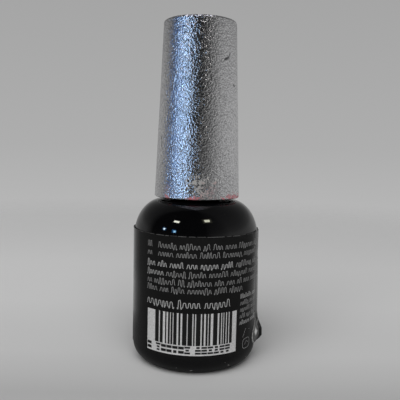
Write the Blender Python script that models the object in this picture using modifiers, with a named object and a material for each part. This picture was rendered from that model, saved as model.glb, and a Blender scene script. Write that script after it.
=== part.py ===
"""Round nail polish bottle with a tall screw cap that carries the brush.

Frame: metres, +Z up along the bottle's axis, origin on the surface the bottle stands on.
Everything is drawn closed: cap screwed home, brush in the polish, balls on the glass floor.
"""

from math import cos, pi, sin

import bmesh
import bpy
from mathutils import Euler, Vector

MM = 0.001

# Driving dimensions of the glass.
BODY_RADIUS = 15.40 * MM
HEEL_RADIUS = 4.0 * MM
STANDING_RING_WIDTH = 1.4 * MM
PUSH_UP = 1.0 * MM
WALL_TOP = 30.45 * MM
SHOULDER_TOP = 39.84 * MM
SHOULDER_TOP_RADIUS = 8.0 * MM
SHOULDER_EXPONENT = 2.09
NECK_RADIUS = 5.70 * MM
NECK_FILLET = 1.2 * MM
LIP_TOP = 51.0 * MM
LIP_ROUND = 0.4 * MM

# Driving dimensions of the space inside the glass.
CAVITY_RADIUS = 13.2 * MM
CAVITY_FLOOR = 3.6 * MM
CAVITY_CORNER = 3.0 * MM
CAVITY_WALL_TOP = 29.5 * MM
CAVITY_SHOULDER_TOP = 37.6 * MM
BORE_RADIUS = 3.9 * MM
BORE_FILLET = 1.0 * MM

# Screw thread of a 13-415 neck finish: 12 threads to the inch.
THREAD_PITCH = 25.4 / 12 * MM
THREAD_TURNS = 1.6
THREAD_BOTTOM = 44.0 * MM
THREAD_ROUND = 0.60 * MM
THREAD_FADE = 0.25
NECK_THREAD_CREST = 6.40 * MM
CAP_THREAD_CREST = 6.55 * MM

# Cap: a metallised shell over a threaded inner cap.
CAP_BOTTOM = 40.38 * MM
CAP_TOP = 82.55 * MM
CAP_BOTTOM_RADIUS = 10.51 * MM
CAP_TOP_RADIUS = 8.865 * MM
CAP_TOP_ROUND = 0.6 * MM
CAP_RIM_ROUND = 0.3 * MM
SHELL_WALL = 1.25 * MM
SHELL_CROWN = 1.5 * MM
SHELL_STOP = 56.0 * MM
SHELL_STOP_STEP = 0.7 * MM

INNER_CAP_BOTTOM = 41.1 * MM
INNER_CAP_BORE = 6.95 * MM
INNER_CAP_PLATE = 1.3 * MM
INNER_CAP_BOSS_RADIUS = 4.0 * MM
INNER_CAP_BOSS_TOP = 61.0 * MM
RIB_COUNT = 12
RIB_HEIGHT = 0.35 * MM
RIB_WIDTH = 0.8 * MM

# Seals stacked on the lip.
LIP_WASHER_THICKNESS = 0.3 * MM
LIP_WASHER_HOLE = 3.4 * MM
LIP_WASHER_RADIUS = 5.6 * MM
LINER_THICKNESS = 1.0 * MM
LINER_HOLE = 2.9 * MM
LINER_RADIUS = 6.3 * MM

# Brush.
COLLAR_RADIUS = 6.3 * MM
COLLAR_THICKNESS = 0.8 * MM
BARREL_RADIUS = 2.4 * MM
BARREL_BOTTOM = 41.0 * MM
BARREL_TAPER = 2.0 * MM
STEM_TOP_RADIUS = 1.8 * MM
STEM_TIP_RADIUS = 1.6 * MM
STEM_TIP = 21.0 * MM
SPIGOT_RADIUS = 1.75 * MM
SPIGOT_LENGTH = 5.2 * MM
SOCKET_RADIUS = 1.1 * MM
SOCKET_DEPTH = 3.6 * MM
STAPLE_SIZE = Vector((1.96, 0.30, 1.10)) * MM
STAPLE_BELOW_SOCKET_END = 1.0 * MM
TUFT_ROOT_RADIUS = 1.0 * MM
TUFT_TIP = 6.0 * MM
TUFT_HALF_WIDTH = 2.3 * MM
TUFT_HALF_THICKNESS = 0.80 * MM

# Contents.
GEL_LEVEL = 30.0 * MM
BRUSH_SHAFT_RADIUS = 3.3 * MM
BRUSH_SHAFT_FLOOR = 5.4 * MM
BALL_RADIUS = 2.25 * MM
BALL_SHAFT_RADIUS = 2.60 * MM
BALL_CIRCLE_RADIUS = 8.4 * MM
BALL_ANGLES = (0.22 * pi, 1.18 * pi)
BALL_LIFT = 0.1 * MM

# Wrap label.
LABEL_BOTTOM = 4.3 * MM
LABEL_TOP = 32.75 * MM
LABEL_GAP = 0.05 * MM
LABEL_THICKNESS = 0.10 * MM
LABEL_SEAM_FACET = 1

# Clearance between neighbouring pieces, and the facets of round shapes.
GAP = 0.3 * MM
FACETS = 48
SMALL_FACETS = 24
MERGE = 1e-6
SHARP_ANGLE = pi / 6

# Finishes: colour, roughness, metallic.
FINISHES = {
    "black_glass": ((0.006, 0.006, 0.008), 0.06, 0.0),
    "black_film": ((0.020, 0.021, 0.024), 0.38, 0.0),
    "gel": ((0.36, 0.03, 0.09), 0.12, 0.0),
    "steel": ((0.62, 0.62, 0.63), 0.18, 1.0),
    "white_film": ((0.80, 0.80, 0.78), 0.45, 0.0),
    "foam": ((0.86, 0.86, 0.84), 0.80, 0.0),
    "black_plastic": ((0.018, 0.018, 0.020), 0.42, 0.0),
    "silver_shell": ((0.72, 0.73, 0.75), 0.28, 1.0),
    "clear_stem": ((0.10, 0.10, 0.11), 0.35, 0.0),
    "bristle": ((0.16, 0.12, 0.11), 0.50, 0.0),
}


def clear_scene():
    for item in list(bpy.data.objects):
        bpy.data.objects.remove(item, do_unlink=True)


def new_collection(name):
    group = bpy.data.collections.new(name)
    bpy.context.scene.collection.children.link(group)
    return group


def finish(name):
    """The Principled material of one finish, made once."""
    known = bpy.data.materials.get(name)
    if known:
        return known
    colour, roughness, metallic = FINISHES[name]
    material = bpy.data.materials.new(name)
    material.use_nodes = True
    shader = material.node_tree.nodes["Principled BSDF"]
    shader.inputs["Base Color"].default_value = (*colour, 1.0)
    shader.inputs["Roughness"].default_value = roughness
    shader.inputs["Metallic"].default_value = metallic
    return material


def shape_object(name, shape, group, finish_name=None):
    """Turns a bmesh into a named object of a collection."""
    mesh = bpy.data.meshes.new(name)
    shape.to_mesh(mesh)
    shape.free()
    item = bpy.data.objects.new(name, mesh)
    group.objects.link(item)
    if finish_name:
        mesh.materials.append(finish(finish_name))
        mesh.shade_smooth()
        mesh.set_sharp_from_angle(angle=SHARP_ANGLE)
    else:
        item.hide_render = True
        item.display_type = "WIRE"
    return item


def arc(centre, radius, start, end, steps):
    """Points (radius, height) of an arc from angle start to end, in radians, both ends included."""
    angles = [start + (end - start) * i / steps for i in range(steps + 1)]
    return [(centre[0] + radius * cos(a), centre[1] + radius * sin(a)) for a in angles]


def shoulder_curve(inner, outer, exponent, steps):
    """A quarter of a superellipse from inner (top of the shoulder) out and down to outer."""
    width = outer[0] - inner[0]
    height = inner[1] - outer[1]
    power = 2 / exponent
    angles = [pi / 2 * (1 - i / steps) for i in range(steps + 1)]
    return [(inner[0] + width * cos(a) ** power, outer[1] + height * sin(a) ** power) for a in angles]


def turned(name, profile, group, finish_name=None, facets=FACETS, closed=False, angle=2 * pi):
    """Turns a profile of (radius, height) points about Z.

    The profile runs down the outer side. A closed one comes back up the inner side to its start.
    """
    shape = bmesh.new()
    points = [shape.verts.new((radius, 0, height)) for radius, height in profile]
    for first, second in zip(points, points[1:]):
        shape.edges.new((first, second))
    if closed:
        shape.edges.new((points[-1], points[0]))
    item = shape_object(name, shape, group, finish_name)
    screw = item.modifiers.new("turn", "SCREW")
    screw.axis = "Z"
    screw.angle = angle
    screw.steps = facets
    screw.render_steps = facets
    screw.use_merge_vertices = True
    screw.merge_threshold = MERGE
    return item


def combine(item, other, operation):
    """Joins another object to this one, or cuts it away."""
    boolean = item.modifiers.new(other.name, "BOOLEAN")
    boolean.operation = operation
    boolean.solver = "EXACT"
    boolean.object = other


def thread_ridge(name, centre_radius, bottom, group):
    """A round right-hand thread ridge that fades out at both ends, as a closed mesh."""
    steps = round(THREAD_TURNS * SMALL_FACETS)
    curve = bpy.data.curves.new(name, "CURVE")
    curve.dimensions = "3D"
    curve.bevel_depth = THREAD_ROUND
    curve.bevel_resolution = 1
    curve.use_fill_caps = True
    curve.twist_mode = "Z_UP"
    spline = curve.splines.new("POLY")
    spline.points.add(steps)
    for i, point in enumerate(spline.points):
        turn = THREAD_TURNS * i / steps
        height = bottom + THREAD_PITCH * turn
        x = centre_radius * cos(2 * pi * turn)
        y = centre_radius * sin(2 * pi * turn)
        point.co = (x, y, height, 1)
        point.radius = min(1.0, 0.4 + min(turn, THREAD_TURNS - turn) / THREAD_FADE)
    wire = bpy.data.objects.new(name + "_curve", curve)
    group.objects.link(wire)
    mesh = bpy.data.meshes.new_from_object(wire.evaluated_get(bpy.context.evaluated_depsgraph_get()))
    place = wire.matrix_world.copy()
    bpy.data.objects.remove(wire, do_unlink=True)
    shape = bmesh.new()
    shape.from_mesh(mesh)
    bpy.data.meshes.remove(mesh)
    bmesh.ops.remove_doubles(shape, verts=shape.verts, dist=MERGE)
    ridge = shape_object(name, shape, group)
    ridge.matrix_world = place
    return ridge


def cap_outer_radius(height):
    """Radius of the cap's outside at a height."""
    part = (height - CAP_BOTTOM) / (CAP_TOP - CAP_BOTTOM)
    return CAP_BOTTOM_RADIUS + (CAP_TOP_RADIUS - CAP_BOTTOM_RADIUS) * part


def glass_bottle(parts, cutters):
    """Thick glass with a pushed-up base, a domed shoulder and a threaded neck."""
    ring_outer = BODY_RADIUS - HEEL_RADIUS
    ring_inner = ring_outer - STANDING_RING_WIDTH
    cavity = [(0, CAVITY_FLOOR)]
    cavity += arc(
        (CAVITY_RADIUS - CAVITY_CORNER, CAVITY_FLOOR + CAVITY_CORNER), CAVITY_CORNER, -pi / 2, 0, 3
    )
    dome = shoulder_curve(
        (BORE_RADIUS + BORE_FILLET, CAVITY_SHOULDER_TOP), (CAVITY_RADIUS, CAVITY_WALL_TOP), 2, 5
    )
    cavity += reversed(dome)
    cavity += arc(
        (BORE_RADIUS + BORE_FILLET, CAVITY_SHOULDER_TOP + BORE_FILLET), BORE_FILLET, -pi / 2, -pi, 2
    )[1:]
    lip_middle = LIP_TOP - LIP_ROUND
    lip = arc((BORE_RADIUS + LIP_ROUND, lip_middle), LIP_ROUND, pi, pi / 2, 2)
    lip += arc((NECK_RADIUS - LIP_ROUND, lip_middle), LIP_ROUND, pi / 2, 0, 2)
    neck = arc(
        (NECK_RADIUS + NECK_FILLET, SHOULDER_TOP + NECK_FILLET), NECK_FILLET, pi, 3 * pi / 2, 3
    )
    shoulder = shoulder_curve(
        (SHOULDER_TOP_RADIUS, SHOULDER_TOP), (BODY_RADIUS, WALL_TOP), SHOULDER_EXPONENT, 8
    )
    heel = arc((ring_outer, HEEL_RADIUS), HEEL_RADIUS, 0, -pi / 2, 5)
    base = [(ring_inner, 0), (0.8 * ring_inner, 0.75 * PUSH_UP), (0.4 * ring_inner, PUSH_UP)]
    base.append((0, PUSH_UP))
    bottle = turned("glass_bottle", cavity + lip + neck + shoulder + heel + base, parts, "black_glass")
    ridge = thread_ridge("neck_thread", NECK_THREAD_CREST - THREAD_ROUND, THREAD_BOTTOM, cutters)
    combine(bottle, ridge, "UNION")
    return bottle


def wrap_label(parts):
    """Printed film round the straight wall. Its ends meet at a seam one facet wide."""
    covered = FACETS - LABEL_SEAM_FACET
    radius = BODY_RADIUS + LABEL_GAP
    profile = [(radius, LABEL_TOP), (radius, LABEL_BOTTOM)]
    angle = 2 * pi * covered / FACETS
    label = turned("wrap_label", profile, parts, "black_film", facets=covered, angle=angle)
    film = label.modifiers.new("film", "SOLIDIFY")
    film.thickness = LABEL_THICKNESS
    film.offset = 1
    return label


def ball_places():
    """Centres of the mixing balls at rest on the glass floor."""
    height = CAVITY_FLOOR + BALL_LIFT + BALL_RADIUS
    reach = BALL_CIRCLE_RADIUS
    return [Vector((reach * cos(a), reach * sin(a), height)) for a in BALL_ANGLES]


def upright_cylinder(shape, centre, radius, bottom, top, facets):
    """Adds a closed cylinder to a bmesh."""
    depth = top - bottom
    made = bmesh.ops.create_cone(
        shape, cap_ends=True, segments=facets, radius1=radius, radius2=radius, depth=depth
    )
    middle = Vector((centre[0], centre[1], bottom + depth / 2))
    bmesh.ops.translate(shape, verts=made["verts"], vec=middle)


def gel_polish(parts, cutters):
    """The polish, with an open shaft for the brush and one for each ball."""
    radius = CAVITY_RADIUS - GAP
    corner = CAVITY_CORNER - GAP
    floor = CAVITY_FLOOR + GAP
    profile = [(0, GEL_LEVEL), (radius, GEL_LEVEL)]
    profile += arc((radius - corner, floor + corner), corner, 0, -pi / 2, 3)
    profile.append((0, floor))
    gel = turned("gel_polish", profile, parts, "gel")
    above = GEL_LEVEL + GAP
    below = CAVITY_FLOOR - GAP
    shape = bmesh.new()
    upright_cylinder(shape, (0, 0), BRUSH_SHAFT_RADIUS, BRUSH_SHAFT_FLOOR, above, SMALL_FACETS)
    for place in ball_places():
        upright_cylinder(shape, place, BALL_SHAFT_RADIUS, below, above, SMALL_FACETS)
    combine(gel, shape_object("gel_shafts", shape, cutters), "DIFFERENCE")
    return gel


def agitator_balls(parts):
    """Steel mixing balls, each with its origin at its centre."""
    balls = []
    for number, place in enumerate(ball_places(), start=1):
        shape = bmesh.new()
        bmesh.ops.create_uvsphere(shape, u_segments=20, v_segments=12, radius=BALL_RADIUS)
        ball = shape_object(f"agitator_ball_{number}", shape, parts, "steel")
        ball.location = place
        balls.append(ball)
    return balls


def flat_ring(name, hole, radius, bottom, thickness, parts, finish_name):
    top = bottom + thickness
    profile = [(hole, top), (radius, top), (radius, bottom), (hole, bottom)]
    return turned(name, profile, parts, finish_name, closed=True)


def seal_heights():
    """Undersides of the lip washer, the liner, the brush collar and the inner cap's plate."""
    washer = LIP_TOP + GAP
    liner = washer + LIP_WASHER_THICKNESS + GAP
    collar = liner + LINER_THICKNESS + GAP
    plate = collar + COLLAR_THICKNESS + GAP
    return washer, liner, collar, plate


def seals(parts):
    washer, liner, _, _ = seal_heights()
    rings = [
        flat_ring("lip_washer", LIP_WASHER_HOLE, LIP_WASHER_RADIUS, washer, LIP_WASHER_THICKNESS, parts,
                  "white_film"),
        flat_ring("cap_liner", LINER_HOLE, LINER_RADIUS, liner, LINER_THICKNESS, parts, "foam"),
    ]
    return rings


def inner_cap_radius(height):
    """Radius of the inner cap's skirt, which follows the draft of the shell round it."""
    return cap_outer_radius(height) - SHELL_WALL - GAP - RIB_HEIGHT


def inner_cap(parts, cutters):
    """Threaded plastic cap with gripping ribs outside and a boss that holds the brush."""
    plate = seal_heights()[3]
    plate_top = plate + INNER_CAP_PLATE
    spigot_hole = SPIGOT_RADIUS + GAP
    hole_top = seal_heights()[2] + COLLAR_THICKNESS + SPIGOT_LENGTH + GAP
    profile = [
        (0, INNER_CAP_BOSS_TOP),
        (INNER_CAP_BOSS_RADIUS, INNER_CAP_BOSS_TOP),
        (INNER_CAP_BOSS_RADIUS, plate_top),
        (inner_cap_radius(plate_top), plate_top),
        (inner_cap_radius(INNER_CAP_BOTTOM), INNER_CAP_BOTTOM),
        (INNER_CAP_BORE, INNER_CAP_BOTTOM),
        (INNER_CAP_BORE, plate),
        (spigot_hole, plate),
        (spigot_hole, hole_top),
        (0, hole_top),
    ]
    cap = turned("inner_cap", profile, parts, "black_plastic")
    opposite = THREAD_BOTTOM + THREAD_PITCH / 2
    combine(cap, thread_ridge("cap_thread", CAP_THREAD_CREST + THREAD_ROUND, opposite, cutters), "UNION")
    combine(cap, cap_ribs(plate_top, cutters), "UNION")
    return cap


def cap_ribs(top, cutters):
    """Upright ribs round the skirt, sunk half their depth in it and leaning with its draft."""
    bottom = INNER_CAP_BOTTOM + GAP
    top = top - GAP
    depth = 2 * RIB_HEIGHT
    lean = (inner_cap_radius(bottom) - inner_cap_radius(top)) / (top - bottom)
    middle = (bottom + top) / 2
    shape = bmesh.new()
    for i in range(RIB_COUNT):
        made = bmesh.ops.create_cube(shape, size=1)["verts"]
        bmesh.ops.scale(shape, verts=made, vec=(depth, RIB_WIDTH, top - bottom))
        bmesh.ops.rotate(shape, verts=made, matrix=Euler((0, -lean, 0)).to_matrix())
        bmesh.ops.translate(shape, verts=made, vec=(inner_cap_radius(middle), 0, middle))
        around = Euler((0, 0, 2 * pi * (i + 0.5) / RIB_COUNT)).to_matrix()
        bmesh.ops.rotate(shape, verts=made, matrix=around)
    return shape_object("cap_ribs", shape, cutters)


def overcap(parts):
    """Tall tapering shell. A step inside stops it on the inner cap's plate."""
    crown = CAP_TOP - SHELL_CROWN
    outside = arc((CAP_TOP_RADIUS - CAP_TOP_ROUND, CAP_TOP - CAP_TOP_ROUND), CAP_TOP_ROUND, pi / 2, 0, 4)
    rim = CAP_BOTTOM + CAP_RIM_ROUND
    outside += arc((CAP_BOTTOM_RADIUS - CAP_RIM_ROUND, rim), CAP_RIM_ROUND, 0, -pi / 2, 2)
    step_radius = cap_outer_radius(SHELL_STOP) - SHELL_WALL
    inside = [
        (cap_outer_radius(CAP_BOTTOM) - SHELL_WALL, CAP_BOTTOM),
        (step_radius, SHELL_STOP),
        (step_radius - SHELL_STOP_STEP, SHELL_STOP),
        (cap_outer_radius(crown) - SHELL_WALL - SHELL_STOP_STEP, crown),
        (0, crown),
    ]
    return turned("overcap", [(0, CAP_TOP)] + outside + inside, parts, "silver_shell")


def brush_stem(parts):
    """Moulded stem: spigot in the inner cap, collar on the liner, barrel, and a socket at the tip."""
    collar = seal_heights()[2]
    collar_top = collar + COLLAR_THICKNESS
    profile = [
        (0, collar_top + SPIGOT_LENGTH),
        (SPIGOT_RADIUS, collar_top + SPIGOT_LENGTH),
        (SPIGOT_RADIUS, collar_top),
        (COLLAR_RADIUS, collar_top),
        (COLLAR_RADIUS, collar),
        (BARREL_RADIUS, collar),
        (BARREL_RADIUS, BARREL_BOTTOM + BARREL_TAPER),
        (STEM_TOP_RADIUS, BARREL_BOTTOM),
        (STEM_TIP_RADIUS, STEM_TIP),
        (SOCKET_RADIUS, STEM_TIP),
        (SOCKET_RADIUS, STEM_TIP + SOCKET_DEPTH),
        (0, STEM_TIP + SOCKET_DEPTH),
    ]
    return turned("brush_stem", profile, parts, "clear_stem", facets=SMALL_FACETS)


def staple_height():
    return STEM_TIP + SOCKET_DEPTH - STAPLE_BELOW_SOCKET_END - STAPLE_SIZE.z / 2


def bristle_staple(parts):
    """Flat strip of wire across the socket, which the bristles are folded over."""
    shape = bmesh.new()
    bmesh.ops.create_cube(shape, size=1)
    bmesh.ops.scale(shape, verts=shape.verts, vec=STAPLE_SIZE)
    staple = shape_object("bristle_staple", shape, parts, "steel")
    staple.location = (0, 0, staple_height())
    return staple


def tuft_section(part):
    """Half width and half thickness of the tuft, from its root (0) to its tip (1)."""
    spread = min(1.0, max(0.0, (part - 0.16) / 0.5))
    spread = spread * spread * (3 - 2 * spread)
    width = TUFT_ROOT_RADIUS + (TUFT_HALF_WIDTH - TUFT_ROOT_RADIUS) * spread
    thickness = TUFT_ROOT_RADIUS + (TUFT_HALF_THICKNESS - TUFT_ROOT_RADIUS) * spread
    end = max(0.0, (part - 0.80) / 0.20)
    return width * (1 - 0.45 * end * end), thickness * (1 - 0.70 * end * end)


def bristle_tuft(parts, cutters):
    """Flat brush head: round in the socket, spread across X below it, with a rounded tip."""
    root = STEM_TIP + SOCKET_DEPTH - GAP
    rings = 14
    shape = bmesh.new()
    loops = []
    for i in range(rings + 1):
        part = i / rings
        width, thickness = tuft_section(part)
        height = root + (TUFT_TIP - root) * part
        angles = [2 * pi * k / SMALL_FACETS for k in range(SMALL_FACETS)]
        loops.append([shape.verts.new((width * cos(a), thickness * sin(a), height)) for a in angles])
    for upper, lower in zip(loops, loops[1:]):
        for k in range(SMALL_FACETS):
            after = (k + 1) % SMALL_FACETS
            shape.faces.new((upper[k], lower[k], lower[after], upper[after]))
    shape.faces.new(loops[0])
    shape.faces.new(reversed(loops[-1]))
    tuft = shape_object("bristle_tuft", shape, parts, "bristle")
    slot = bmesh.new()
    bmesh.ops.create_cube(slot, size=1)
    room = Vector((4 * TUFT_ROOT_RADIUS, STAPLE_SIZE.y + GAP, STAPLE_SIZE.z + GAP))
    bmesh.ops.scale(slot, verts=slot.verts, vec=room)
    cutter = shape_object("staple_slot", slot, cutters)
    cutter.location = (0, 0, staple_height())
    combine(tuft, cutter, "DIFFERENCE")
    return tuft


def main():
    clear_scene()
    parts = new_collection("nail_polish_bottle")
    cutters = new_collection("cutters")
    glass_bottle(parts, cutters)
    wrap_label(parts)
    gel_polish(parts, cutters)
    agitator_balls(parts)
    capped = seals(parts)
    capped += [inner_cap(parts, cutters), overcap(parts), brush_stem(parts)]
    capped += [bristle_staple(parts), bristle_tuft(parts, cutters)]
    cap_axis = bpy.data.objects.new("cap_axis", None)
    parts.objects.link(cap_axis)
    for piece in capped:
        piece.parent = cap_axis


main()
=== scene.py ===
"""Looks of the nail polish bottle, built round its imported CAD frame."""

from math import atan2, cos, pi, radians, sin, sqrt
from random import Random

import bmesh
import bpy
import numpy as np
from mathutils import Matrix, Vector, noise


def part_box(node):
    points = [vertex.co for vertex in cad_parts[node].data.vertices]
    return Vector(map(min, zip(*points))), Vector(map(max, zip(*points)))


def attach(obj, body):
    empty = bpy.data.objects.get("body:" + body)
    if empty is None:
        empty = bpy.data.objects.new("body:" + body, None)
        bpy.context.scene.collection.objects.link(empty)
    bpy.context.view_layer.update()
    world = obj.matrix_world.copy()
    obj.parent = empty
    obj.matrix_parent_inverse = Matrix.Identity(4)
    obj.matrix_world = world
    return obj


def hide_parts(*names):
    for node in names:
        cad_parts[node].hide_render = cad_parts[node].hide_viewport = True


MM = 0.001

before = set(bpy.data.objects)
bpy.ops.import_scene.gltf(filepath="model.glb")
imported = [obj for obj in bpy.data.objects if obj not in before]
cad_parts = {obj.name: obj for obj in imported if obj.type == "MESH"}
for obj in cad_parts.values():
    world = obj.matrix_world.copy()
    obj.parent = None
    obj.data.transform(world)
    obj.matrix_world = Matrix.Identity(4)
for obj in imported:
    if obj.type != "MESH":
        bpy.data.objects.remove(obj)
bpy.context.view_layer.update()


def reach(node):
    """Largest radius of a CAD node round the bottle's axis, and its lowest and highest level."""
    low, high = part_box(node)
    return max(high.x, high.y, -low.x, -low.y), low.z, high.z


BODY_RADIUS, _, LIP_TOP = reach("glass_bottle")
LABEL_RADIUS, LABEL_BOTTOM, LABEL_TOP = reach("wrap_label")
CAP_BOTTOM_RADIUS, CAP_BOTTOM, CAP_TOP = reach("overcap")
_, INNER_CAP_BOTTOM, INNER_CAP_TOP = reach("inner_cap")
COLLAR_RADIUS, STEM_TIP, SPIGOT_TOP = reach("brush_stem")
_, TUFT_TIP, TUFT_ROOT = reach("bristle_tuft")

# Shape of the glass, as in the CAD model.
HEEL_RADIUS = 4.0 * MM
STANDING_RING_WIDTH = 1.4 * MM
STANDING_RING_BEVEL = 0.2 * MM
PUSH_UP = 1.0 * MM
WALL_TOP = 30.45 * MM
SHOULDER_TOP = 39.84 * MM
SHOULDER_TOP_RADIUS = 8.0 * MM
SHOULDER_EXPONENT = 2.09
NECK_RADIUS = 5.70 * MM
NECK_FILLET = 1.2 * MM
LIP_ROUND = 0.4 * MM
CAVITY_RADIUS = 13.2 * MM
CAVITY_FLOOR = 3.6 * MM
CAVITY_CORNER = 3.0 * MM
CAVITY_WALL_TOP = 29.5 * MM
CAVITY_SHOULDER_TOP = 37.6 * MM
BORE_RADIUS = 3.9 * MM
BORE_FILLET = 1.0 * MM

GLASS_SEGMENTS = 256

THREAD_PITCH = 25.4 / 12 * MM
THREAD_TURNS = 1.6
THREAD_BOTTOM = 44.0 * MM
THREAD_ROUND = 0.60 * MM
THREAD_FADE = 0.25
THREAD_RINGS = 84
NECK_THREAD_CREST = 6.40 * MM
CAP_THREAD_CREST = 6.55 * MM

# Shape of the cap.
CAP_TOP_RADIUS = 8.865 * MM
CAP_TOP_ROUND = 0.6 * MM
CAP_RIM_ROUND = 0.3 * MM
RIM_BEVEL = 0.15 * MM
SHELL_WALL = 1.25 * MM
SHELL_CROWN = 1.5 * MM
CROWN_SPREAD = 9.0 * MM
SHELL_STOP = 56.0 * MM
SHELL_STOP_STEP = 0.7 * MM
SHELL_SEGMENTS = 352
SHELL_SIDE_RINGS = 240
CRINKLE_CELL = 0.25 * MM
CRINKLE_HEIGHT = 0.100 * MM
GRAIN_HEIGHT = 0.012 * MM
SPIKE_HEIGHT = 0.022 * MM
SPIKE_FROM = 1.0
GRAIN_SMOOTHING = 1

LABEL_THICKNESS = 0.10 * MM
INK = 0.012 * MM


# Meshes ---------------------------------------------------------------------------------------


def clamp(value):
    return max(0.0, min(1.0, value))


def arc(centre, radius, start, end, steps):
    """Points (radius, height) of an arc from angle start to end, both ends included."""
    x, y = centre
    return [(x + radius * cos(a), y + radius * sin(a)) for a in even(start, end, steps)]


def even(start, end, steps):
    """Evenly spaced numbers from start to end, both included."""
    return [start + (end - start) * i / steps for i in range(steps + 1)]


def straight(start, end, steps):
    """Points between two (radius, height) points, without the two themselves."""
    parts = [i / steps for i in range(1, steps)]
    wide, high = end[0] - start[0], end[1] - start[1]
    return [(start[0] + wide * p, start[1] + high * p) for p in parts]


def shoulder_curve(inner, outer, exponent, steps):
    """A quarter of a superellipse from inner (top of the shoulder) out and down to outer."""
    width = outer[0] - inner[0]
    height = inner[1] - outer[1]
    power = 2 / exponent
    angles = [pi / 2 * (1 - i / steps) for i in range(steps + 1)]
    return [
        (inner[0] + width * cos(a) ** power, outer[1] + height * sin(a) ** power) for a in angles
    ]


def ring_points(profile, segments):
    """Every profile point turned round Z: an array of rings, segments and coordinates."""
    turn = np.arange(segments) * 2 * pi / segments
    outline = np.array(profile)
    x = outline[:, 0, None] * np.cos(turn)
    y = outline[:, 0, None] * np.sin(turn)
    z = np.broadcast_to(outline[:, 1, None], x.shape)
    return np.stack([x, y, z], axis=-1)


def new_mesh(name, points, faces):
    mesh = bpy.data.meshes.new(name)
    mesh.from_pydata(points, [], faces)
    mesh.update()
    return mesh


def store(mesh, name, values):
    """Keeps a number for every point of a mesh, which its material reads by name."""
    mesh.attributes.new(name, "FLOAT", "POINT").data.foreach_set("value", values)


def tube_mesh(name, rings, first_pole=None, last_pole=None, looped=False, end_faces=()):
    """A mesh through rings of points, open, looped, or closed by poles or by faces at its ends."""
    count, segments = rings.shape[:2]
    points = [rings.reshape(-1, 3)]
    index = np.arange(count * segments).reshape(count, segments)
    upper = index if looped else index[:-1]
    lower = np.roll(index, -1, axis=0) if looped else index[1:]
    beside = [np.roll(row, -1, axis=1) for row in (lower, upper)]
    quads = np.stack([upper, lower, *beside], axis=-1)
    faces = quads.reshape(-1, 4).tolist()
    total = count * segments
    if first_pole is not None:
        points.append(np.array([first_pole]))
        after = np.roll(index[0], -1)
        faces += [(total, int(a), int(b)) for a, b in zip(index[0], after)]
        total += 1
    if last_pole is not None:
        points.append(np.array([last_pole]))
        after = np.roll(index[-1], -1)
        faces += [(total, int(b), int(a)) for a, b in zip(index[-1], after)]
    faces += [tuple(int(index[0][i]) for i in face) for face in end_faces]
    faces += [tuple(int(index[-1][i]) for i in reversed(face)) for face in end_faces]
    return new_mesh(name, np.concatenate(points).tolist(), faces)


def faces_outwards(mesh):
    """Turns a closed mesh's faces round if they enclose a negative volume."""
    mesh.calc_loop_triangles()
    corners = np.empty(len(mesh.loop_triangles) * 3, np.int32)
    mesh.loop_triangles.foreach_get("vertices", corners)
    points = np.empty(len(mesh.vertices) * 3)
    mesh.vertices.foreach_get("co", points)
    a, b, c = points.reshape(-1, 3)[corners.reshape(-1, 3)].transpose(1, 0, 2)
    if np.einsum("ij,ij->i", a, np.cross(b, c)).sum() < 0:
        mesh.flip_normals()


def placed(name, data):
    """A new object in the scene."""
    item = bpy.data.objects.new(name, data)
    bpy.context.scene.collection.objects.link(item)
    return item


def from_bmesh(name, shape):
    """Turns a finished bmesh into a mesh."""
    mesh = bpy.data.meshes.new(name)
    shape.to_mesh(mesh)
    shape.free()
    return mesh


def piece(name, mesh, material, body, replaced=(), sharp=radians(40)):
    """Links a mesh as a smooth-shaded object that rides on a body."""
    faces_outwards(mesh)
    mesh.materials.append(material)
    mesh.shade_smooth()
    mesh.set_sharp_from_angle(angle=sharp)
    item = placed(name, mesh)
    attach(item, body)
    if replaced:
        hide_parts(*replaced)
    return item


def turned(name, profile, segments, looped=False):
    """A turned mesh, looped, or closed by poles where its profile starts and ends on the axis."""
    if looped:
        return tube_mesh(name, ring_points(profile, segments), looped=True)
    poles = [(0, 0, level) for _, level in (profile[0], profile[-1])]
    return tube_mesh(name, ring_points(profile[1:-1], segments), *poles)


# Materials ------------------------------------------------------------------------------------


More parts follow.
